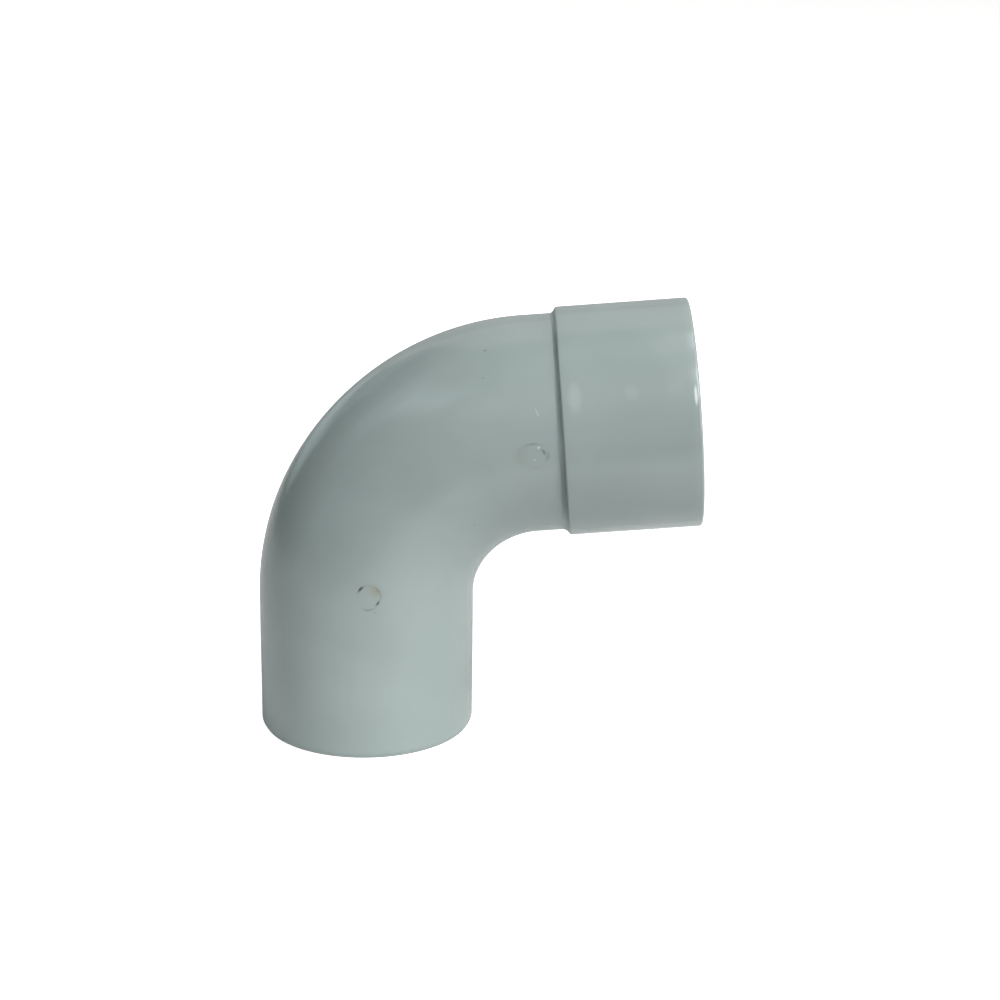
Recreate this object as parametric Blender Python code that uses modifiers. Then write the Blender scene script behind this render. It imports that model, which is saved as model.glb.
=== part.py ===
"""PVC conduit elbow: a swept bend with a plain spigot end and a socket sleeve glued on its neck.

Metres, +Z up. The spigot points down along -Z and the socket opens towards +X. The origin is
under the middle of the elbow, in the plane of the spigot's end.
"""

from math import cos, pi, radians, sin, tan

import bmesh
import bpy
from mathutils import Vector

# Driving dimensions, in metres: the tube that is bent
TUBE_RADIUS = 0.040
TUBE_WALL = 0.002
BEND_ANGLE = radians(85)
BEND_RADIUS = 0.0656
SPIGOT_LENGTH = 0.0514
SPIGOT_CHAMFER_LENGTH = 0.0016
SPIGOT_CHAMFER_DEPTH = 0.0010
NECK_RADIUS = 0.0396
NECK_LENGTH = 0.0119  # from the end of the bend to the sleeve's rear rim

# The sleeve that makes the socket
SLEEVE_RADIUS = 0.0418
SLEEVE_LENGTH = 0.0484
SLEEVE_OVERLAP = 0.012  # length of neck inside the sleeve
SOCKET_RADIUS = 0.0403
MOUTH_CHAMFER = 0.0003

# The bead of cement in the corner behind the sleeve
FILLET_LENGTH = 0.0024
FILLET_STEPS = 3

GAP = 0.0003  # between neighbouring pieces
ROUND_SIDES = 48
BEND_STEPS = 18
CUTTER_MARGIN = 0.005
SHARP_EDGE = radians(30)

# The legs' axes cross at the apex, and each leg's straight part starts this far from it
TANGENT_LENGTH = BEND_RADIUS * tan(BEND_ANGLE / 2)
SPIGOT_REACH = TANGENT_LENGTH + SPIGOT_LENGTH
SLEEVE_REAR = TANGENT_LENGTH + NECK_LENGTH
SLEEVE_MOUTH = SLEEVE_REAR + SLEEVE_LENGTH
NECK_END = SLEEVE_REAR + SLEEVE_OVERLAP

# Unit vectors along the two legs, away from the apex
SPIGOT_DIRECTION = Vector((0, 0, -1))
SOCKET_DIRECTION = Vector((sin(BEND_ANGLE), 0, cos(BEND_ANGLE)))

LOWEST_X = -TUBE_RADIUS
HIGHEST_X = SLEEVE_MOUTH * sin(BEND_ANGLE) + SLEEVE_RADIUS * cos(BEND_ANGLE)
APEX = Vector((-(LOWEST_X + HIGHEST_X) / 2, 0, SPIGOT_REACH))


def clear_scene():
    for old in list(bpy.data.objects):
        bpy.data.objects.remove(old, do_unlink=True)


def new_collection(name):
    collection = bpy.data.collections.new(name)
    bpy.context.scene.collection.children.link(collection)
    return collection


def plastic(name, colour, roughness):
    material = bpy.data.materials.new(name)
    material.use_nodes = True
    shader = material.node_tree.nodes["Principled BSDF"]
    shader.inputs["Base Color"].default_value = (*colour, 1)
    shader.inputs["Roughness"].default_value = roughness
    shader.inputs["Metallic"].default_value = 0
    return material


def smooth(piece):
    piece.data.shade_smooth()
    piece.data.set_sharp_from_angle(angle=SHARP_EDGE)


def bend_point(turned):
    """The point on the bend's centreline after this much of the turn, starting at the spigot."""
    centre = APEX + SPIGOT_DIRECTION * TANGENT_LENGTH + Vector((BEND_RADIUS, 0, 0))
    return centre + BEND_RADIUS * Vector((-cos(turned), 0, sin(turned)))


def bend_stations():
    """Centreline points and outer radii, from the spigot's end to the neck's."""
    spigot_end = APEX + SPIGOT_DIRECTION * SPIGOT_REACH
    stations = [
        (spigot_end, TUBE_RADIUS - SPIGOT_CHAMFER_DEPTH),
        (spigot_end - SPIGOT_DIRECTION * SPIGOT_CHAMFER_LENGTH, TUBE_RADIUS),
    ]
    for step in range(BEND_STEPS + 1):
        share = step / BEND_STEPS
        radius = TUBE_RADIUS + (NECK_RADIUS - TUBE_RADIUS) * share**2
        stations.append((bend_point(BEND_ANGLE * share), radius))
    stations.append((APEX + SOCKET_DIRECTION * NECK_END, NECK_RADIUS))
    return stations


def bore_stations():
    """The same centreline, one wall further in, run past both ends."""
    stations = [(place, radius - TUBE_WALL) for place, radius in bend_stations()]
    bore_radius = TUBE_RADIUS - TUBE_WALL
    below = APEX + SPIGOT_DIRECTION * (SPIGOT_REACH + CUTTER_MARGIN)
    beyond = APEX + SOCKET_DIRECTION * (NECK_END + CUTTER_MARGIN)
    return [(below, bore_radius), *stations[2:-1], (beyond, NECK_RADIUS - TUBE_WALL)]


def round_tube(name, stations, collection):
    """A solid round bar along the stations, as a mesh object."""
    curve = bpy.data.curves.new(name + "_path", "CURVE")
    curve.dimensions = "3D"
    curve.bevel_depth = TUBE_RADIUS
    curve.bevel_resolution = (ROUND_SIDES - 4) // 2
    curve.use_fill_caps = True
    spline = curve.splines.new("POLY")
    spline.points.add(len(stations) - 1)
    for point, (place, radius) in zip(spline.points, stations):
        point.co = (*place, 1)
        point.radius = radius / TUBE_RADIUS
    path = bpy.data.objects.new(name + "_path", curve)
    collection.objects.link(path)
    graph = bpy.context.evaluated_depsgraph_get()
    mesh = bpy.data.meshes.new_from_object(path.evaluated_get(graph))
    mesh.name = name
    tube = bpy.data.objects.new(name, mesh)
    tube.matrix_world = path.matrix_world
    collection.objects.link(tube)
    bpy.data.objects.remove(path, do_unlink=True)
    weld_caps(mesh)
    return tube


def weld_caps(mesh):
    """A curve's caps are loose, so they are joined to its sides."""
    shape = bmesh.new()
    shape.from_mesh(mesh)
    bmesh.ops.remove_doubles(shape, verts=shape.verts, dist=1e-6)
    bmesh.ops.recalc_face_normals(shape, faces=shape.faces)
    shape.to_mesh(mesh)
    shape.free()


def make_bend(parts, cutters, material):
    bend = round_tube("bend_tube", bend_stations(), parts)
    bore = round_tube("bend_bore", bore_stations(), cutters)
    bore.hide_render = True
    bore.display_type = "WIRE"
    cut = bend.modifiers.new("bore", "BOOLEAN")
    cut.operation = "DIFFERENCE"
    cut.solver = "EXACT"
    cut.object = bore
    graph = bpy.context.evaluated_depsgraph_get()
    bend.data = bpy.data.meshes.new_from_object(bend.evaluated_get(graph))
    bend.modifiers.clear()
    bend.data.materials.clear()
    bend.data.materials.append(material)
    smooth(bend)
    return bend


def turned_ring(name, profile, parts, material):
    """A profile of (radius, distance along the socket's axis) turned round that axis."""
    mesh = bpy.data.meshes.new(name)
    corners = [(radius, 0, along) for radius, along in profile]
    edges = [(i, (i + 1) % len(corners)) for i in range(len(corners))]
    mesh.from_pydata(corners, edges, [])
    ring = bpy.data.objects.new(name, mesh)
    parts.objects.link(ring)
    turn = ring.modifiers.new("turn", "SCREW")
    turn.axis = "Z"
    turn.steps = ROUND_SIDES
    turn.render_steps = ROUND_SIDES
    turn.use_merge_vertices = True
    turn.merge_threshold = 1e-5
    turn.use_smooth_shade = True
    ring.location = APEX + SOCKET_DIRECTION * SLEEVE_REAR
    ring.rotation_euler = (0, BEND_ANGLE, 0)
    mesh.materials.append(material)
    return ring


def make_sleeve(parts, material):
    """A sleeve with a smaller bore where it grips the neck and a lead-in at its mouth."""
    grip_radius = NECK_RADIUS + GAP
    stop = SLEEVE_OVERLAP + GAP
    profile = [
        (SLEEVE_RADIUS - MOUTH_CHAMFER, SLEEVE_LENGTH),
        (SLEEVE_RADIUS, SLEEVE_LENGTH - MOUTH_CHAMFER),
        (SLEEVE_RADIUS, 0),
        (grip_radius, 0),
        (grip_radius, stop),
        (SOCKET_RADIUS, stop),
        (SOCKET_RADIUS, SLEEVE_LENGTH - MOUTH_CHAMFER),
        (SOCKET_RADIUS + MOUTH_CHAMFER, SLEEVE_LENGTH),
    ]
    return turned_ring("socket_sleeve", profile, parts, material)


def make_cement_fillet(parts, material):
    """A bead with a hollow face, from the sleeve's rear rim down to the neck."""
    inner = NECK_RADIUS + GAP
    depth = SLEEVE_RADIUS - inner
    profile = []
    for step in range(FILLET_STEPS + 1):
        angle = pi / 2 * step / FILLET_STEPS
        radius = SLEEVE_RADIUS - depth * sin(angle)
        along = -FILLET_LENGTH + (FILLET_LENGTH - GAP) * cos(angle)
        profile.append((radius, along))
    profile.append((inner, -GAP))
    return turned_ring("cement_fillet", profile, parts, material)


def main():
    clear_scene()
    parts = new_collection("pvc_conduit_elbow")
    cutters = new_collection("cutters")
    grey = plastic("grey_pvc", (0.39, 0.45, 0.44), 0.35)
    dark = plastic("cured_cement", (0.16, 0.20, 0.20), 0.5)
    make_bend(parts, cutters, grey)
    make_sleeve(parts, grey)
    make_cement_fillet(parts, dark)


main()
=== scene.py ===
"""The looks of a PVC conduit elbow: fine meshes, moulded plastic, a pale floor and soft light.

Metres, +Z up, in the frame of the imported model. The spigot stands on the floor and the socket
opens towards +X. The bend lies in the XZ plane, so the tube's sides face -Y and +Y.
"""

from math import cos, hypot, pi, radians, sin, tan

import bpy
import numpy as np
from mathutils import Matrix, Vector


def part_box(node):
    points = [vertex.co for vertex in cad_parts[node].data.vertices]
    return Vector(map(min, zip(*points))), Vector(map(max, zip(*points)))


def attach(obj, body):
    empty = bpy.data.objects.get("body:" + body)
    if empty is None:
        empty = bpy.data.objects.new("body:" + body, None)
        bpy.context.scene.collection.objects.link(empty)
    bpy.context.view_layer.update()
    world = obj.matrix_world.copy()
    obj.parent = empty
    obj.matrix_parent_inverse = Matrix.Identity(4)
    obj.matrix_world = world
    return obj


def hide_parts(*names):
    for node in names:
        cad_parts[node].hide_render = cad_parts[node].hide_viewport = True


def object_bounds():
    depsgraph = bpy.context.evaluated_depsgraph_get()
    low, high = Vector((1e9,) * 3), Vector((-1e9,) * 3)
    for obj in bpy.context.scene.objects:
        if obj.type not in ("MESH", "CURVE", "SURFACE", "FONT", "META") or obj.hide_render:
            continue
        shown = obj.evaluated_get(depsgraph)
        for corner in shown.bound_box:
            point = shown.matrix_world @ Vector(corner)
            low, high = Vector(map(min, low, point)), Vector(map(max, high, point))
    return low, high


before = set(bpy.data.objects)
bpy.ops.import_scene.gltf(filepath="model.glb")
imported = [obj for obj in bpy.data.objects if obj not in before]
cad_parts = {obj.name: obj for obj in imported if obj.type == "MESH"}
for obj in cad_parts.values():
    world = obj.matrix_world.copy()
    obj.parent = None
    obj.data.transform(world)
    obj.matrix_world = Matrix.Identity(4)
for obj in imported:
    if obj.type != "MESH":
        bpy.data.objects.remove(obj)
CAD_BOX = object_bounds()

# Sizes that the frame gives
TUBE_LOW, TUBE_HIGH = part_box("bend_tube")
TUBE_RADIUS = TUBE_HIGH.y
SLEEVE_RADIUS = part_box("socket_sleeve")[1].y

# The elbow's other driving dimensions, in metres
BEND_ANGLE = radians(85)
BEND_RADIUS = 0.0656
TUBE_WALL = 0.002
SPIGOT_LENGTH = 0.0514
SPIGOT_CHAMFER_LENGTH = 0.0016
SPIGOT_CHAMFER_DEPTH = 0.0010
NECK_RADIUS = 0.0396
NECK_LENGTH = 0.0119
SLEEVE_LENGTH = 0.0484
SLEEVE_OVERLAP = 0.012
SOCKET_RADIUS = 0.0403
GRIP_CLEARANCE = 0.0001

# Small departures from a true round bend
BEND_FLATTENING = 0.00016  # the tube's radius in the bend's plane is this much less
BEND_WIDENING = 0.0004  # its radius across that plane is this much more
BEND_SLACK = 0.00028  # and the middle of the bend lies this much nearer the bend's centre
SEAM_HEIGHT = 0.00006
SEAM_WIDTH = 0.00035

# How far the corners of each section are rounded
SPIGOT_BORE_ROUNDING = 0.0003
SPIGOT_FACE_ROUNDING = 0.00015
SPIGOT_CHAMFER_ROUNDING = 0.002
NECK_END_ROUNDING = 0.0003
SLEEVE_ROUNDING = 0.0010
MOUTH_ROUNDING = 0.0004
GRIP_ROUNDING = 0.0002

# The outer surface's fine relief fades out over this depth as it turns in at an end
TUBE_FADE = 0.0002
SLEEVE_FADE = 0.0004

# How far the paler rims reach from the spigot's end and from the sleeve's mouth
# The pale rims are painted light: they lift the shade on the spigot's end chamfer and paint a light
# edge along the mouth's lip
SPIGOT_RIM = 0.0009
MOUTH_RIM = 0.0008

# The bead of cement behind the sleeve: shorter over the bend's outer wall than under it
BEAD_LENGTH_OUTER = 0.0013
BEAD_LENGTH_INNER = 0.0020
BEAD_WANDER = 0.00006
BEAD_TOP_GAP = 0.0006  # from the sleeve's outside down to the top of the bead
BEAD_SINK = 0.0003
BEAD_STEPS = 12

# Mesh density
TUBE_SIDES = 192
RING_SPACING = 0.0016
BORE_SPACING = 0.004
SLEEVE_SPACING = 0.003
LONG_SIDE = 0.008  # a side of the sleeve's section longer than this gets rings along it
SEAM_ZONE = 0.001  # the columns are closer together this far each way from a parting line
SEAM_SPACING = 0.00016
FINE_REACH = 0.0068  # and rings and columns this far each way from a witness mark's middle
FINE_SPACING = 0.0002
PLACE_DIGITS = 7  # decimals that places along and round a piece are rounded to
SHARP_EDGE = radians(40)
TOLERANCE = 1e-6

BEND_LENGTH = BEND_RADIUS * BEND_ANGLE
TUBE_LENGTH = SPIGOT_LENGTH + BEND_LENGTH + NECK_LENGTH + SLEEVE_OVERLAP
SPIGOT_X = TUBE_LOW.x + TUBE_RADIUS
BEND_CENTRE = Vector((SPIGOT_X + BEND_RADIUS, 0, TUBE_LOW.z + SPIGOT_LENGTH))
TANGENT_LENGTH = BEND_RADIUS * tan(BEND_ANGLE / 2)
APEX = Vector((SPIGOT_X, 0, BEND_CENTRE.z + TANGENT_LENGTH))
SOCKET_AXIS = Vector((sin(BEND_ANGLE), 0, cos(BEND_ANGLE)))
SLEEVE_REAR = APEX + SOCKET_AXIS * (TANGENT_LENGTH + NECK_LENGTH)

# Round witness marks on the tube's side. Each has its place along the tube and its angle round it,
# from the outer wall, and its half size both ways. Its ring is broken into arcs: the middle and
# the half width in degrees, the radius as a share of the half size, and the strength. A fleck is
# a raised crumb of plastic: two offsets as shares of the half size, a radius and a strength. The
# tint is a slightly yellowed stretch of the ring: its middle and half width in degrees, and its
# strength.
# An arc's strength deepens its groove and also paints it dark, as painted shade
WITNESS_MARKS = [
    {
        "along": 0.0628,
        "angle": radians(-93.9),
        "half_length": 0.0046,
        "half_width": 0.0042,
        "arcs": [
            (55, 15, 1.02, 1.60),
            (-115, 13, 0.93, 1.15),
            (-172, 26, 1.08, 0.36),
            (-40, 20, 1.00, 0.42),
            (-82, 26, 1.02, 0.20),
            (5, 22, 1.02, 0.14),
        ],
        "flecks": [],
        "tint": (-34, 45, 1.00),
    },
    {
        "along": 0.1500,
        "angle": radians(-92.1),
        "half_length": 0.0056,
        "half_width": 0.0043,
        "arcs": [
            (92, 28, 0.98, 0.34),
            (150, 26, 1.00, 0.06),
            (22, 20, 0.70, 0.62),
            (-8, 22, 0.90, 0.34),
            (-80, 18, 1.10, 0.16),
            (-150, 30, 1.00, 0.05),
        ],
        "flecks": [(0.34, 0.66, 0.00044, 0.8), (0.05, -0.37, 0.00036, 0.55)],
        "tint": (180, 60, 0.30),
    },
]
WITNESS_DEPTH = 0.00016
WITNESS_GROOVE = 0.085  # the groove's half width, as a share of the mark's size
TINT_RADIUS = 0.8  # as a share of the mark's size, like the width
TINT_WIDTH = 0.4
FLECK_HEIGHT = 0.00015

# Specks in the plastic, and painted glints: place along the tube, angle in degrees, half length,
# half width, strength.
# The places past the sleeve's rear edge are on the sleeve: three faint painted glints, and a bright
# painted glint on its lip.
DARK_SPECKS = [
    (0.13995, -31.6, 0.00042, 0.00042, 0.65),
    (0.13838, -48.5, 0.00032, 0.00032, 0.35),
    (0.11563, -122.6, 0.00090, 0.00090, 0.14),
    (0.05690, -98.0, 0.00070, 0.00070, 0.14),
]
PALE_SPECKS_AND_PAINTED_GLINTS = [
    (0.15183, -68.6, 0.00045, 0.00070, 0.20),
    (0.15225, -70.0, 0.00045, 0.00080, 0.25),
    (0.15260, -71.3, 0.00050, 0.00075, 0.28),
    # The sleeve's four spots are painted glints: three faint ones and a bright one on its lip
    (0.16560, -64.7, 0.00300, 0.00660, 0.13),
    (0.18540, -64.2, 0.00330, 0.00330, 0.06),
    (0.20070, -63.6, 0.00400, 0.00450, 0.03),
    (0.20735, -67.5, 0.00075, 0.00420, 0.95),
]


def along_tube(along):
    """Centre of the tube's section, its outward direction in the bend's plane, share of the bend."""
    turned = np.clip((along - SPIGOT_LENGTH) / BEND_RADIUS, 0, BEND_ANGLE)
    outward = np.stack([-np.cos(turned), np.zeros_like(turned), np.sin(turned)], axis=-1)
    centre = np.array(BEND_CENTRE) + BEND_RADIUS * outward
    below = np.minimum(along - SPIGOT_LENGTH, 0)
    beyond = np.maximum(along - SPIGOT_LENGTH - BEND_LENGTH, 0)
    centre = centre + below[..., None] * np.array((0, 0, 1))
    centre = centre + beyond[..., None] * np.array(SOCKET_AXIS)
    return centre, outward, turned / BEND_ANGLE


def tube_surface(along, depth, angle, relief):
    """Points of the tube, this deep under its outer surface. Angle 0 is the bend's outer wall."""
    centre, outward, share = along_tube(along)
    squeeze = np.sin(pi * share) ** 2
    radius = (TUBE_RADIUS - SEAM_HEIGHT) + (NECK_RADIUS - TUBE_RADIUS + SEAM_HEIGHT) * share**2
    in_plane = radius - BEND_FLATTENING * squeeze - depth + relief
    across = radius + BEND_WIDENING * squeeze - depth + relief
    reach = in_plane * np.cos(angle) - BEND_SLACK * squeeze
    points = centre + outward * reach[..., None]
    points[..., 1] += across * np.sin(angle)
    return points


def seam_relief(angle, radius):
    """The mould's parting line: a low ridge along the outer and the inner wall."""
    from_outer = np.abs(np.arctan2(np.sin(angle), np.cos(angle)))
    arc = radius * np.minimum(from_outer, pi - from_outer)
    return SEAM_HEIGHT * np.exp(-((arc / SEAM_WIDTH) ** 2))


def mark_polar(mark, along, angle):
    """Distance from the mark's middle, 1 on its ring, and the direction there in degrees."""
    lengthwise = (along - mark["along"]) / mark["half_length"]
    around = TUBE_RADIUS * (angle - mark["angle"]) / mark["half_width"]
    return np.hypot(lengthwise, around), np.degrees(np.arctan2(around, lengthwise))


def arc_weight(direction, middle, half_width):
    """1 in the middle of an arc, fading towards its ends. All in degrees."""
    away = np.abs((direction - middle + 180) % 360 - 180)
    return np.exp(-((away / half_width) ** 2))


def witness_cut(along, angle):
    """How strongly the broken rings of the witness marks are cut here, 0 where there is none."""
    total = np.zeros(np.broadcast(along, angle).shape)
    for mark in WITNESS_MARKS:
        distance, direction = mark_polar(mark, along, angle)
        for middle, half_width, radius, strength in mark["arcs"]:
            ring = np.exp(-(((distance - radius) / WITNESS_GROOVE) ** 2))
            total += strength * ring * arc_weight(direction, middle, half_width)
    return total


def witness_flecks(along, angle):
    """The raised crumbs on the witness marks, from 0 to 1."""
    total = np.zeros(np.broadcast(along, angle).shape)
    for mark in WITNESS_MARKS:
        lengthwise = along - mark["along"]
        around = TUBE_RADIUS * (angle - mark["angle"])
        for share_a, share_b, radius, strength in mark["flecks"]:
            offset_a = share_a * mark["half_length"]
            offset_b = share_b * mark["half_width"]
            away = np.hypot(lengthwise - offset_a, around - offset_b)
            total += strength * np.exp(-((away / radius) ** 2))
    return total


def witness_tint(along, angle):
    """Where the plastic beside a witness mark is slightly yellowed."""
    total = np.zeros(np.broadcast(along, angle).shape)
    for mark in WITNESS_MARKS:
        distance, direction = mark_polar(mark, along, angle)
        middle, half_width, strength = mark["tint"]
        patch = np.exp(-(((distance - TINT_RADIUS) / TINT_WIDTH) ** 2))
        total += strength * patch * arc_weight(direction, middle, half_width)
    return total


def rounded(corners, steps):
    """A closed path through (x, y, rounding) corners, each an arc of this many steps."""
    path = []
    for i, (x, y, rounding) in enumerate(corners):
        corner = np.array((x, y))
        before = np.array(corners[i - 1][:2]) - corner
        after = np.array(corners[(i + 1) % len(corners)][:2]) - corner
        before /= hypot(*before)
        after /= hypot(*after)
        half = np.arccos(np.clip(before @ after, -1, 1)) / 2
        reach = rounding / tan(half)
        middle = corner + (before + after) / hypot(*(before + after)) * rounding / sin(half)
        start = corner + before * reach - middle
        end = corner + after * reach - middle
        sweep = pi - 2 * half
        for step in range(steps + 1):
            share = step / steps
            blend = (sin((1 - share) * sweep) * start + sin(share * sweep) * end) / sin(sweep)
            path.append(middle + blend)
    return path


def filled_in(path, spacing):
    """The closed path, with points about this far apart along its long sides."""
    filled = []
    for point, following in zip(path, path[1:] + path[:1]):
        filled.append(point)
        length = hypot(*(following - point))
        if length > LONG_SIDE:
            shares = np.linspace(0, 1, round(length / spacing) + 1)[1:-1]
            filled += [point + (following - point) * share for share in shares]
    return np.array(filled)


def spread(start, end, spacing):
    """Places between two ends, evenly spaced and without the ends themselves."""
    count = max(2, round(abs(end - start) / spacing))
    return list(np.linspace(start, end, count + 1)[1:-1])


def fine_places(start, end, spacing, fine_zones):
    """Places between two ends, with close ones inside each (middle, reach, spacing) zone."""
    places = set(np.round(spread(start, end, spacing), PLACE_DIGITS))
    for middle, reach, close in fine_zones:
        places = {p for p in places if abs(p - middle) > reach + spacing / 2}
        places |= set(np.round(np.arange(middle - reach, middle + reach, close), PLACE_DIGITS))
    return sorted(places)


def column_angles(radius, with_marks=False):
    """Angles of the mesh's columns, closer together at the parting lines and the marks.

    They start a little past the inner wall, so that no zone is cut in two. The marks lie nearly
    in line along the tube, and the zone at the first one's angle takes in both.
    """
    zones = [(wall, SEAM_ZONE / radius, SEAM_SPACING / radius) for wall in (0.0, pi)]
    if with_marks:
        zones.append((WITNESS_MARKS[0]["angle"], FINE_REACH / radius, FINE_SPACING / radius))
    step = 2 * pi / TUBE_SIDES
    start = -pi + 3 * step
    return np.array(fine_places(start, start + 2 * pi, step, zones))


def looped_mesh(name, rings):
    """A closed mesh from rings of points, where the last ring joins the first."""
    rows, columns, _ = rings.shape
    row = np.arange(rows)[:, None]
    column = np.arange(columns)[None, :]
    next_row = (row + 1) % rows
    next_column = (column + 1) % columns
    quads = np.stack(
        [
            row * columns + column,
            row * columns + next_column,
            next_row * columns + next_column,
            next_row * columns + column,
        ],
        axis=-1,
    )
    mesh = bpy.data.meshes.new(name)
    mesh.from_pydata(rings.reshape(-1, 3).tolist(), [], quads.reshape(-1, 4).tolist())
    mesh.update()
    if signed_volume(mesh) < 0:
        mesh.flip_normals()
    mesh.shade_smooth()
    mesh.set_sharp_from_angle(angle=SHARP_EDGE)
    piece = bpy.data.objects.new(name, mesh)
    bpy.context.scene.collection.objects.link(piece)
    return piece


def signed_volume(mesh):
    """Three times the volume that the faces enclose, negative if they face inwards."""
    return sum(face.center.dot(face.normal) * face.area for face in mesh.polygons)


def paint(piece, name, values):
    """Stores a number for each point of the mesh, for its material to read."""
    attribute = piece.data.attributes.new(name, "FLOAT", "POINT")
    attribute.data.foreach_set("value", np.asarray(values, np.float32).ravel())


def tube_profile():
    """Places along the tube and depths under its surface: out along its wall, back by the bore."""
    corners = [
        (0, TUBE_WALL, SPIGOT_BORE_ROUNDING),
        (0, SPIGOT_CHAMFER_DEPTH, SPIGOT_FACE_ROUNDING),
        (SPIGOT_CHAMFER_LENGTH, 0, SPIGOT_CHAMFER_ROUNDING),
        (TUBE_LENGTH, 0, NECK_END_ROUNDING),
        (TUBE_LENGTH, TUBE_WALL, NECK_END_ROUNDING),
    ]
    path = rounded(corners, steps=5)
    on_surface = [i for i, (_, depth) in enumerate(path) if depth < TOLERANCE]
    start, end = on_surface[0], on_surface[-1]
    zones = [(mark["along"], FINE_REACH, FINE_SPACING) for mark in WITNESS_MARKS]
    outer = fine_places(path[start][0], path[end][0], RING_SPACING, zones)
    bore = spread(path[-1][0], path[0][0], BORE_SPACING)
    return np.array(
        path[: start + 1]
        + [(along, 0) for along in outer]
        + path[end:]
        + [(along, TUBE_WALL) for along in bore]
    )


def make_bend_tube():
    """The bent tube, with its parting lines and witness marks in the mesh."""
    profile = tube_profile()
    along, depth = profile[:, 0, None], profile[:, 1, None]
    angle = column_angles(TUBE_RADIUS, with_marks=True)[None, :]
    outside = np.clip(1 - depth / TUBE_FADE, 0, 1)
    cut = witness_cut(along, angle) * outside
    flecks = witness_flecks(along, angle) * outside
    relief = seam_relief(angle, TUBE_RADIUS) * outside - WITNESS_DEPTH * cut + FLECK_HEIGHT * flecks
    along, angle, depth = np.broadcast_arrays(along, angle, depth)
    tube = looped_mesh("bend_tube_fine", tube_surface(along, depth, angle, relief))
    paint(tube, "mark", cut)
    paint(tube, "fleck", flecks)
    paint(tube, "tint", witness_tint(along, angle) * outside)
    paint(tube, "rim", np.exp(-((along / SPIGOT_RIM) ** 2)))
    paint(tube, "along", along)
    paint(tube, "turn", angle)
    return tube


def turned_rings(profile, angle):
    """Rings of a profile of (radius, along) points turned round the socket's axis."""
    outward = np.array((-cos(BEND_ANGLE), 0, sin(BEND_ANGLE)))
    radius, along = profile[..., 0], profile[..., 1]
    rings = np.array(SLEEVE_REAR) + along[..., None] * np.array(SOCKET_AXIS)
    rings = rings + (radius * np.cos(angle))[..., None] * outward
    rings[..., 1] += radius * np.sin(angle)
    return rings


def make_socket_sleeve():
    """The sleeve, with a rounded lip at its mouth and a smaller bore where it grips the neck."""
    grip = NECK_RADIUS + GRIP_CLEARANCE
    stop = SLEEVE_OVERLAP + GRIP_CLEARANCE
    corners = [
        (SLEEVE_RADIUS, 0, SLEEVE_ROUNDING),
        (SLEEVE_RADIUS, SLEEVE_LENGTH, SLEEVE_ROUNDING),
        (SOCKET_RADIUS, SLEEVE_LENGTH, MOUTH_ROUNDING),
        (SOCKET_RADIUS, stop, GRIP_ROUNDING),
        (grip, stop, GRIP_ROUNDING),
        (grip, 0, GRIP_ROUNDING),
    ]
    profile = filled_in(rounded(corners, steps=6), SLEEVE_SPACING)[:, None, :]
    angle = column_angles(SLEEVE_RADIUS)[None, :]
    outside = np.clip((profile[..., 0] - SLEEVE_RADIUS + SLEEVE_FADE) / SLEEVE_FADE, 0, 1)
    relief = (seam_relief(angle, SLEEVE_RADIUS) - SEAM_HEIGHT) * outside
    profile = np.broadcast_to(profile, (len(profile), angle.size, 2)).copy()
    profile[..., 0] += relief
    sleeve = looped_mesh("socket_sleeve_fine", turned_rings(profile, angle))
    along = profile[..., 1]
    paint(sleeve, "rim", np.exp(-(((along - SLEEVE_LENGTH) / MOUTH_RIM) ** 2)))
    paint(sleeve, "along", TUBE_LENGTH - SLEEVE_OVERLAP + along)
    paint(sleeve, "turn", np.broadcast_to(angle, along.shape))
    return sleeve


def make_cement_fillet():
    """The bead: a slightly hollow ramp from the neck up to the sleeve's rear edge."""
    angle = column_angles(SLEEVE_RADIUS)
    middle = (BEAD_LENGTH_OUTER + BEAD_LENGTH_INNER) / 2
    swing = (BEAD_LENGTH_OUTER - BEAD_LENGTH_INNER) / 2
    wander = BEAD_WANDER * (np.sin(5 * angle + 1.0) + np.sin(11 * angle + 0.4))
    length = middle + swing * np.cos(angle) + wander
    top = SLEEVE_RADIUS - SEAM_HEIGHT - BEAD_TOP_GAP
    depth = top - NECK_RADIUS
    outline = []
    for share in np.linspace(0, 1, BEAD_STEPS + 1):
        quarter = share * pi / 2
        radius = top - depth * (share + sin(quarter)) / 2
        along = -length * (share + 1 - cos(quarter)) / 2
        outline.append((radius, along))
    sunk = NECK_RADIUS - BEAD_SINK
    outline += [(sunk, -length - BEAD_SINK), (sunk, BEAD_SINK), (top - BEAD_SINK, BEAD_SINK)]
    profile = np.empty((len(outline), angle.size, 2))
    for ring, (radius, along) in zip(profile, outline):
        ring[:, 0] = radius
        ring[:, 1] = along
    bead = looped_mesh("cement_fillet_fine", turned_rings(profile, angle[None, :]))
    paint(bead, "turn", np.broadcast_to(angle, profile.shape[:2]))
    return bead


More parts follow.
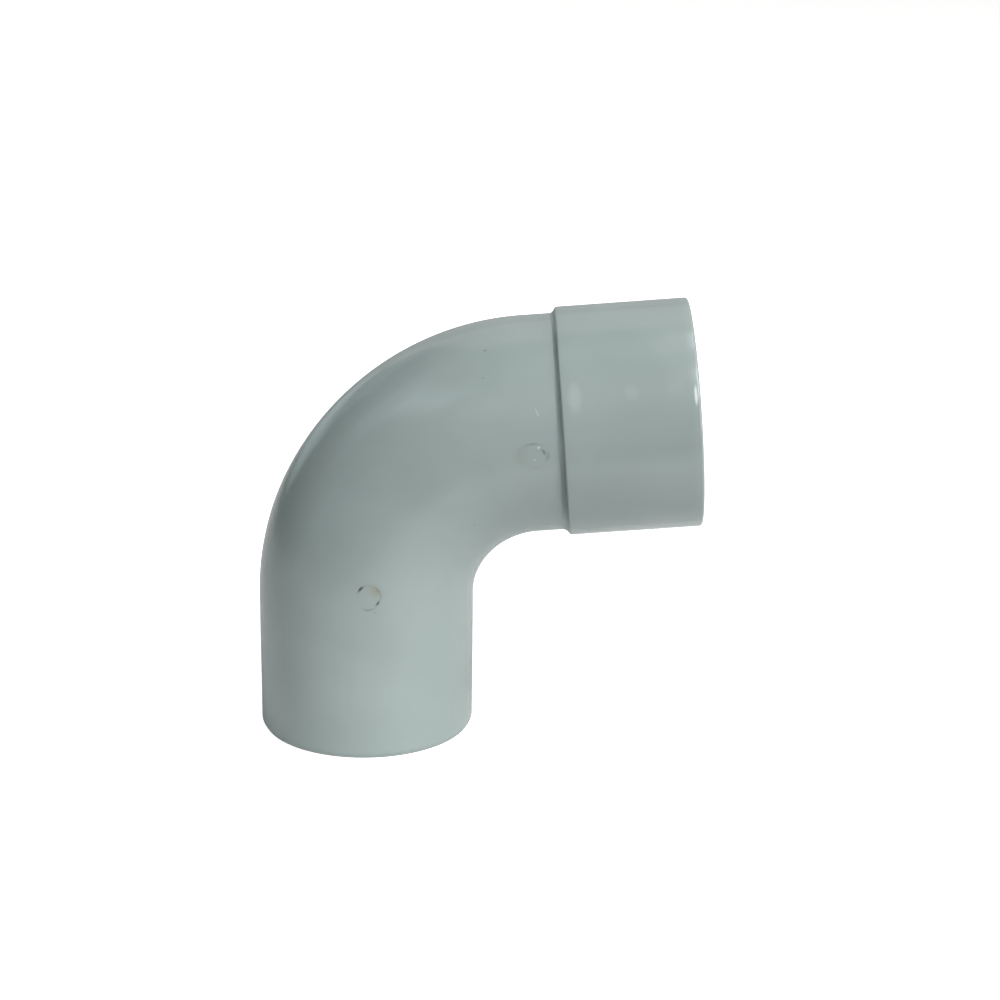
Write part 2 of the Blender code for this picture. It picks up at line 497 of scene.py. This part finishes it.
class Nodes:
    """Short calls for building a material's node tree."""

    def __init__(self, name):
        self.material = bpy.data.materials.new(name)
        self.material.use_nodes = True
        self.tree = self.material.node_tree
        self.shader = self.tree.nodes["Principled BSDF"]
        self.place = self.add("ShaderNodeTexCoord").outputs["Object"]

    def add(self, kind, **settings):
        node = self.tree.nodes.new(kind)
        for key, value in settings.items():
            setattr(node, key, value)
        return node

    def link(self, source, target):
        """Joins a socket to an input, or gives the input a plain value."""
        if isinstance(source, bpy.types.NodeSocket):
            self.tree.links.new(source, target)
        else:
            target.default_value = source

    def attribute(self, name):
        return self.add("ShaderNodeAttribute", attribute_name=name).outputs["Fac"]

    def vector(self, x, y, z):
        node = self.add("ShaderNodeCombineXYZ")
        for source, target in zip((x, y, z), node.inputs):
            self.link(source, target)
        return node.outputs[0]

    def math(self, operation, a, b=0.0, clamp=False):
        node = self.add("ShaderNodeMath", operation=operation, use_clamp=clamp)
        self.link(a, node.inputs[0])
        self.link(b, node.inputs[1])
        return node.outputs[0]

    def noise(self, place, scale, detail, roughness=0.5):
        node = self.add("ShaderNodeTexNoise")
        self.link(place, node.inputs["Vector"])
        node.inputs["Scale"].default_value = scale
        node.inputs["Detail"].default_value = detail
        node.inputs["Roughness"].default_value = roughness
        return node.outputs["Fac"]

    def span(self, value, low, high, to_low=0.0, to_high=1.0):
        """Maps low to high smoothly onto to_low to to_high, and clamps."""
        node = self.add("ShaderNodeMapRange", interpolation_type="SMOOTHSTEP")
        for source, target in zip((value, low, high, to_low, to_high), node.inputs):
            self.link(source, target)
        return node.outputs[0]

    def spot(self, along, angle, half_length, half_width):
        """1 at a place on the tube, falling to 0 at the edge of an oval round it."""
        a = self.math("SUBTRACT", self.attribute("along"), along)
        b = self.math("SUBTRACT", self.attribute("turn"), radians(angle))
        a = self.math("POWER", self.math("DIVIDE", self.math("ABSOLUTE", a), half_length), 2.0)
        b = self.math("MULTIPLY", self.math("ABSOLUTE", b), TUBE_RADIUS / half_width)
        return self.span(self.math("ADD", a, self.math("POWER", b, 2.0)), 0.0, 1.0, 1.0, 0.0)

    def mix(self, share, a, b):
        """Colour a where the share is 0, and colour b where it is 1."""
        node = self.add("ShaderNodeMix", data_type="RGBA")
        self.link(share, node.inputs[0])
        self.link(a, node.inputs[6])
        self.link(b, node.inputs[7])
        return node.outputs[2]

    def bump(self, height, distance, below=None):
        """A normal for the height, this many metres high, on top of the bumps below."""
        node = self.add("ShaderNodeBump")
        node.inputs["Strength"].default_value = 1.0
        node.inputs["Distance"].default_value = distance
        self.link(height, node.inputs["Height"])
        if below is not None:
            self.link(below, node.inputs["Normal"])
        return node.outputs[0]


# Colours are linear, as red, green, blue and alpha
PVC_PALE = (0.334, 0.396, 0.388, 1)
PVC_DEEP = (0.306, 0.366, 0.357, 1)
PVC_YELLOWED = (0.290, 0.310, 0.250, 1)
# A chalky pale, which is also the colour of the painted light on the rims and of the painted glints
PVC_CHALKY_AND_PAINTED_LIGHT = (0.740, 0.780, 0.770, 1)
# The dark specks' dirt, and the painted shade in the witness rings' grooves
SPECK_DIRT_AND_GROOVE_SHADE = (0.060, 0.075, 0.070, 1)
PVC_ROUGHNESS = (0.19, 0.24)
PLASTIC_IOR = 1.5

# The plastic's texture. Scales are in noise cells per metre, and heights in metres.
MOTTLE_SCALE = 28
STREAK_SCALE = 300
STREAK_STRETCH = 0.06  # the streaks' scale along the tube, as a share of that round it
GRAIN_SCALE = 2600
PEEL_SCALE = 520
WAVE_SCALE = 45
STREAK_HEIGHT = 0.000006
PEEL_HEIGHT = 0.000008
WAVE_HEIGHT = 0.00008
NOISE_RANGE = (0.30, 0.70)  # most of a noise's values lie in this range
GRAIN_RANGE = (0.40, 0.75)

# How strongly each of these shows in the colour, and how much smoother a rim is
STREAK_SHADE = 0.15
GRAIN_SHADE = 0.12
RIM_PAINTED_LIGHT = 0.15
FLECK_SHADE = 0.8
GROOVE_PAINTED_SHADE = 0.9
RIM_POLISH = 0.06


def make_pvc():
    """Semi-gloss grey-green PVC: mottled, with lines along the tube, fine grain, pale rims of
    painted light, painted glints on the sleeve and painted shade in the witness rings' grooves.
    """
    n = Nodes("grey_pvc")
    around = n.math("MULTIPLY", n.attribute("turn"), TUBE_RADIUS)
    flow = n.vector(around, n.math("MULTIPLY", n.attribute("along"), STREAK_STRETCH), 0.0)
    mottle = n.noise(n.place, MOTTLE_SCALE, detail=2)
    streaks = n.noise(flow, STREAK_SCALE, detail=1)
    grain = n.noise(n.place, GRAIN_SCALE, detail=1)
    rim = n.attribute("rim")
    fleck = n.math("MULTIPLY", n.attribute("fleck"), FLECK_SHADE, clamp=True)
    mark = n.math("MULTIPLY", n.attribute("mark"), GROOVE_PAINTED_SHADE, clamp=True)
    colour = n.mix(n.span(mottle, *NOISE_RANGE), PVC_DEEP, PVC_PALE)
    colour = n.mix(n.span(streaks, *NOISE_RANGE, 0, STREAK_SHADE), colour, PVC_DEEP)
    colour = n.mix(n.span(grain, *GRAIN_RANGE, 0, GRAIN_SHADE), colour, PVC_PALE)
    # Pale rims: painted light on the spigot's end chamfer and along the mouth's lip
    colour = n.mix(n.math("MULTIPLY", rim, RIM_PAINTED_LIGHT), colour, PVC_CHALKY_AND_PAINTED_LIGHT)
    # The pale spots past the sleeve's rear edge are painted glints
    for specks, shade in ((DARK_SPECKS, SPECK_DIRT_AND_GROOVE_SHADE), (PALE_SPECKS_AND_PAINTED_GLINTS, PVC_CHALKY_AND_PAINTED_LIGHT)):
        for *place, strength in specks:
            colour = n.mix(n.math("MULTIPLY", n.spot(*place), strength), colour, shade)
    colour = n.mix(n.attribute("tint"), colour, PVC_YELLOWED)
    colour = n.mix(fleck, colour, PVC_CHALKY_AND_PAINTED_LIGHT)
    # The witness rings' grooves are painted dark: painted shade in the recess
    colour = n.mix(mark, colour, SPECK_DIRT_AND_GROOVE_SHADE)
    n.link(colour, n.shader.inputs["Base Color"])
    roughness = n.span(mottle, *NOISE_RANGE, *PVC_ROUGHNESS)
    roughness = n.math("SUBTRACT", roughness, n.math("MULTIPLY", rim, RIM_POLISH))
    n.link(roughness, n.shader.inputs["Roughness"])
    n.link(PLASTIC_IOR, n.shader.inputs["IOR"])
    peel = n.bump(n.noise(n.place, PEEL_SCALE, detail=1), PEEL_HEIGHT)
    waves = n.bump(n.noise(n.place, WAVE_SCALE, detail=1), WAVE_HEIGHT, peel)
    n.link(n.bump(streaks, STREAK_HEIGHT, waves), n.shader.inputs["Normal"])
    return n.material


CEMENT_COLOUR = (0.375, 0.445, 0.435, 1)
CEMENT_DEEP = (0.345, 0.410, 0.400, 1)
CEMENT_ROUGHNESS = (0.30, 0.42)
BLOTCH_SCALE = 160
BLOTCH_RANGE = (0.35, 0.65)
BLOTCH_HEIGHT = 0.00015
DROPLET_SCALE = 900
DROPLET_HEIGHT = 0.00003

# The painted shade on each side of the bead: its angle from the bend's outer wall, how far to each
# side of that it is at its darkest, and where it ends
CEMENT_PAINTED_SHADE = (0.255, 0.305, 0.295, 1)
CEMENT_SHADE_ANGLE = radians(114)
CEMENT_SHADE_CORE = radians(8)
CEMENT_SHADE_SPREAD = radians(27)


def make_cement():
    """Cured solvent cement: a milky grey, with painted shade on each side of the bead towards the
    inner wall.
    """
    n = Nodes("cured_cement")
    from_shade = n.math("SUBTRACT", n.math("ABSOLUTE", n.attribute("turn")), CEMENT_SHADE_ANGLE)
    from_shade = n.math("ABSOLUTE", from_shade)
    # Darker on each side towards the inner wall: painted shade
    painted_shade = n.span(from_shade, CEMENT_SHADE_CORE, CEMENT_SHADE_SPREAD, 1.0, 0.0)
    blotch = n.noise(n.place, BLOTCH_SCALE, detail=4, roughness=0.6)
    droplets = n.noise(n.place, DROPLET_SCALE, detail=2)
    colour = n.mix(n.span(blotch, *BLOTCH_RANGE), CEMENT_DEEP, CEMENT_COLOUR)
    n.link(n.mix(painted_shade, colour, CEMENT_PAINTED_SHADE), n.shader.inputs["Base Color"])
    n.link(n.span(droplets, *NOISE_RANGE, *CEMENT_ROUGHNESS), n.shader.inputs["Roughness"])
    n.link(PLASTIC_IOR, n.shader.inputs["IOR"])
    relief = n.bump(blotch, BLOTCH_HEIGHT, n.bump(droplets, DROPLET_HEIGHT))
    n.link(relief, n.shader.inputs["Normal"])
    return n.material


# The floor is a pale sheet on a dark ground. The sheet's front edge is just outside the picture,
# and it shows in the gloss as the change from light to dark across the bend and the sleeve.
SHEET_LOW = (-0.7, -0.24)
SHEET_HIGH = (0.9, 20.0)
SHEET_GAP = 0.0002  # under the elbow
GROUND_REACH = 30.0
GROUND_DROP = 0.001  # under the sheet
PALE_FLOOR = (0.9, 0.9, 0.895, 1)
DARK_FLOOR = (0.04, 0.04, 0.04, 1)
FLOOR_ROUGHNESS = 0.9
FLOOR_SPECULAR = 0.2
FLOOR_GLOW = 1.05
WHITE_ROOM = (0.96, 0.96, 0.955, 1)


def make_floor(name, low, high, height, colour):
    """A flat floor. The camera sees it pale and evenly lit, and the elbow gets its true light."""
    (left, front), (right, back) = low, high
    corners = [(left, front, 0), (right, front, 0), (right, back, 0), (left, back, 0)]
    mesh = bpy.data.meshes.new(name)
    mesh.from_pydata(corners, [], [(0, 1, 2, 3)])
    floor = bpy.data.objects.new(name, mesh)
    floor.location.z = height
    bpy.context.scene.collection.objects.link(floor)
    n = Nodes(name)
    seen = n.add("ShaderNodeLightPath").outputs["Is Camera Ray"]
    n.link(n.mix(seen, colour, PALE_FLOOR), n.shader.inputs["Base Color"])
    n.link(PALE_FLOOR, n.shader.inputs["Emission Color"])
    n.link(n.math("MULTIPLY", seen, FLOOR_GLOW), n.shader.inputs["Emission Strength"])
    n.link(FLOOR_ROUGHNESS, n.shader.inputs["Roughness"])
    n.link(FLOOR_SPECULAR, n.shader.inputs["Specular IOR Level"])
    mesh.materials.append(n.material)


def direction_to(azimuth, elevation):
    """Towards a camera or a light. Azimuth 0 is the side of -Y, and 90 degrees is that of +X."""
    across = cos(elevation)
    return Vector((sin(azimuth) * across, -cos(azimuth) * across, sin(elevation)))


# The camera, placed round a point given in tube diameters from the point where the axes cross
CAMERA_AZIMUTH = radians(0.36)
CAMERA_ELEVATION = radians(16.92)
CAMERA_ROLL = radians(0.78)
CAMERA_DISTANCE = 0.7416
CAMERA_LENS = 72.10
SENSOR_WIDTH = 36
CAMERA_REACH = 200
CAMERA_AIM = APEX + 2 * TUBE_RADIUS * Vector((0.6204, 0, -0.3038))


def make_camera():
    back = direction_to(CAMERA_AZIMUTH, CAMERA_ELEVATION)
    camera = bpy.data.objects.new("camera", bpy.data.cameras.new("camera"))
    camera.data.lens = CAMERA_LENS
    camera.data.sensor_width = SENSOR_WIDTH
    camera.data.clip_end = CAMERA_REACH
    turn = back.to_track_quat("Z", "Y").to_matrix() @ Matrix.Rotation(CAMERA_ROLL, 3, "Z")
    camera.matrix_world = Matrix.Translation(CAMERA_AIM + back * CAMERA_DISTANCE) @ turn.to_4x4()
    bpy.context.scene.collection.objects.link(camera)
    bpy.context.scene.camera = camera


# The soft lights: azimuth and elevation in degrees, width and height in metres, brightness
LIGHTS = {
    "key": (38, 42, 1.70, 1.75, 9.50),
    "low_right": (50, 8, 1.06, 0.76, 6.4),
    "right": (95, 10, 1.06, 0.76, 0.5),
    "top_right": (90, 78, 1.00, 0.80, 6.6),
    "front": (-10, 36, 1.30, 1.20, 0.40),
    "top_left": (-58, 49, 1.60, 0.62, 1.55),
    "left": (-90, 43, 1.06, 1.50, 0.68),
    "low_left": (-70, 8, 1.06, 0.76, 0.30),
    "back_left": (-142, 8, 1.40, 0.80, 1.05),
    "back_left_high": (-145, 26, 1.40, 0.80, 0.48),
    "back": (180, 14, 2.90, 1.40, 0.52),
    "back_top": (180, 50, 2.40, 2.20, 0.68),
}
LIGHT_DISTANCE = 3.0
LIGHT_WHITE = (1.0, 1.0, 1.0)
LIGHT_COOL = (0.84, 1.0, 1.0)  # for the lights on the left


def softbox(name, azimuth, elevation, width, height, brightness, colour):
    """A rectangular soft light that looks at the elbow."""
    back = direction_to(radians(azimuth), radians(elevation))
    light = bpy.data.lights.new(name, "AREA")
    light.shape = "RECTANGLE"
    light.size = width
    light.size_y = height
    light.energy = brightness * width * height * pi
    light.color = colour
    lamp = bpy.data.objects.new(name, light)
    lamp.location = CAMERA_AIM + back * LIGHT_DISTANCE
    lamp.rotation_euler = back.to_track_quat("Z", "Y").to_euler()
    lamp.visible_camera = False
    bpy.context.scene.collection.objects.link(lamp)


def make_light():
    """Soft lights round the elbow, in a room that is dark but for the white that the camera sees."""
    world = bpy.data.worlds.new("studio")
    world.use_nodes = True
    tree = world.node_tree
    tree.nodes["Background"].inputs["Color"].default_value = WHITE_ROOM
    seen = tree.nodes.new("ShaderNodeLightPath").outputs["Is Camera Ray"]
    tree.links.new(seen, tree.nodes["Background"].inputs["Strength"])
    bpy.context.scene.world = world
    for name, light in LIGHTS.items():
        softbox(name, *light, LIGHT_COOL if "left" in name else LIGHT_WHITE)
    bpy.context.scene.view_settings.view_transform = "Standard"


def main():
    pvc = make_pvc()
    cement = make_cement()
    pieces = [
        (make_bend_tube(), pvc, "bend_tube", "pvc"),
        (make_socket_sleeve(), pvc, "socket_sleeve", "pvc"),
        (make_cement_fillet(), cement, "cement_fillet", "cement"),
    ]
    for piece, material, node, slot in pieces:
        piece.data.materials.append(material)
        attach(piece, "root")
        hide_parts(node)
    sheet_height = CAD_BOX[0][2] - SHEET_GAP
    ground_height = sheet_height - GROUND_DROP
    reach = GROUND_REACH
    make_floor("sheet", SHEET_LOW, SHEET_HIGH, sheet_height, PALE_FLOOR)
    make_floor("ground", (-reach, -reach), (reach, reach), ground_height, DARK_FLOOR)
    make_camera()
    make_light()


main()
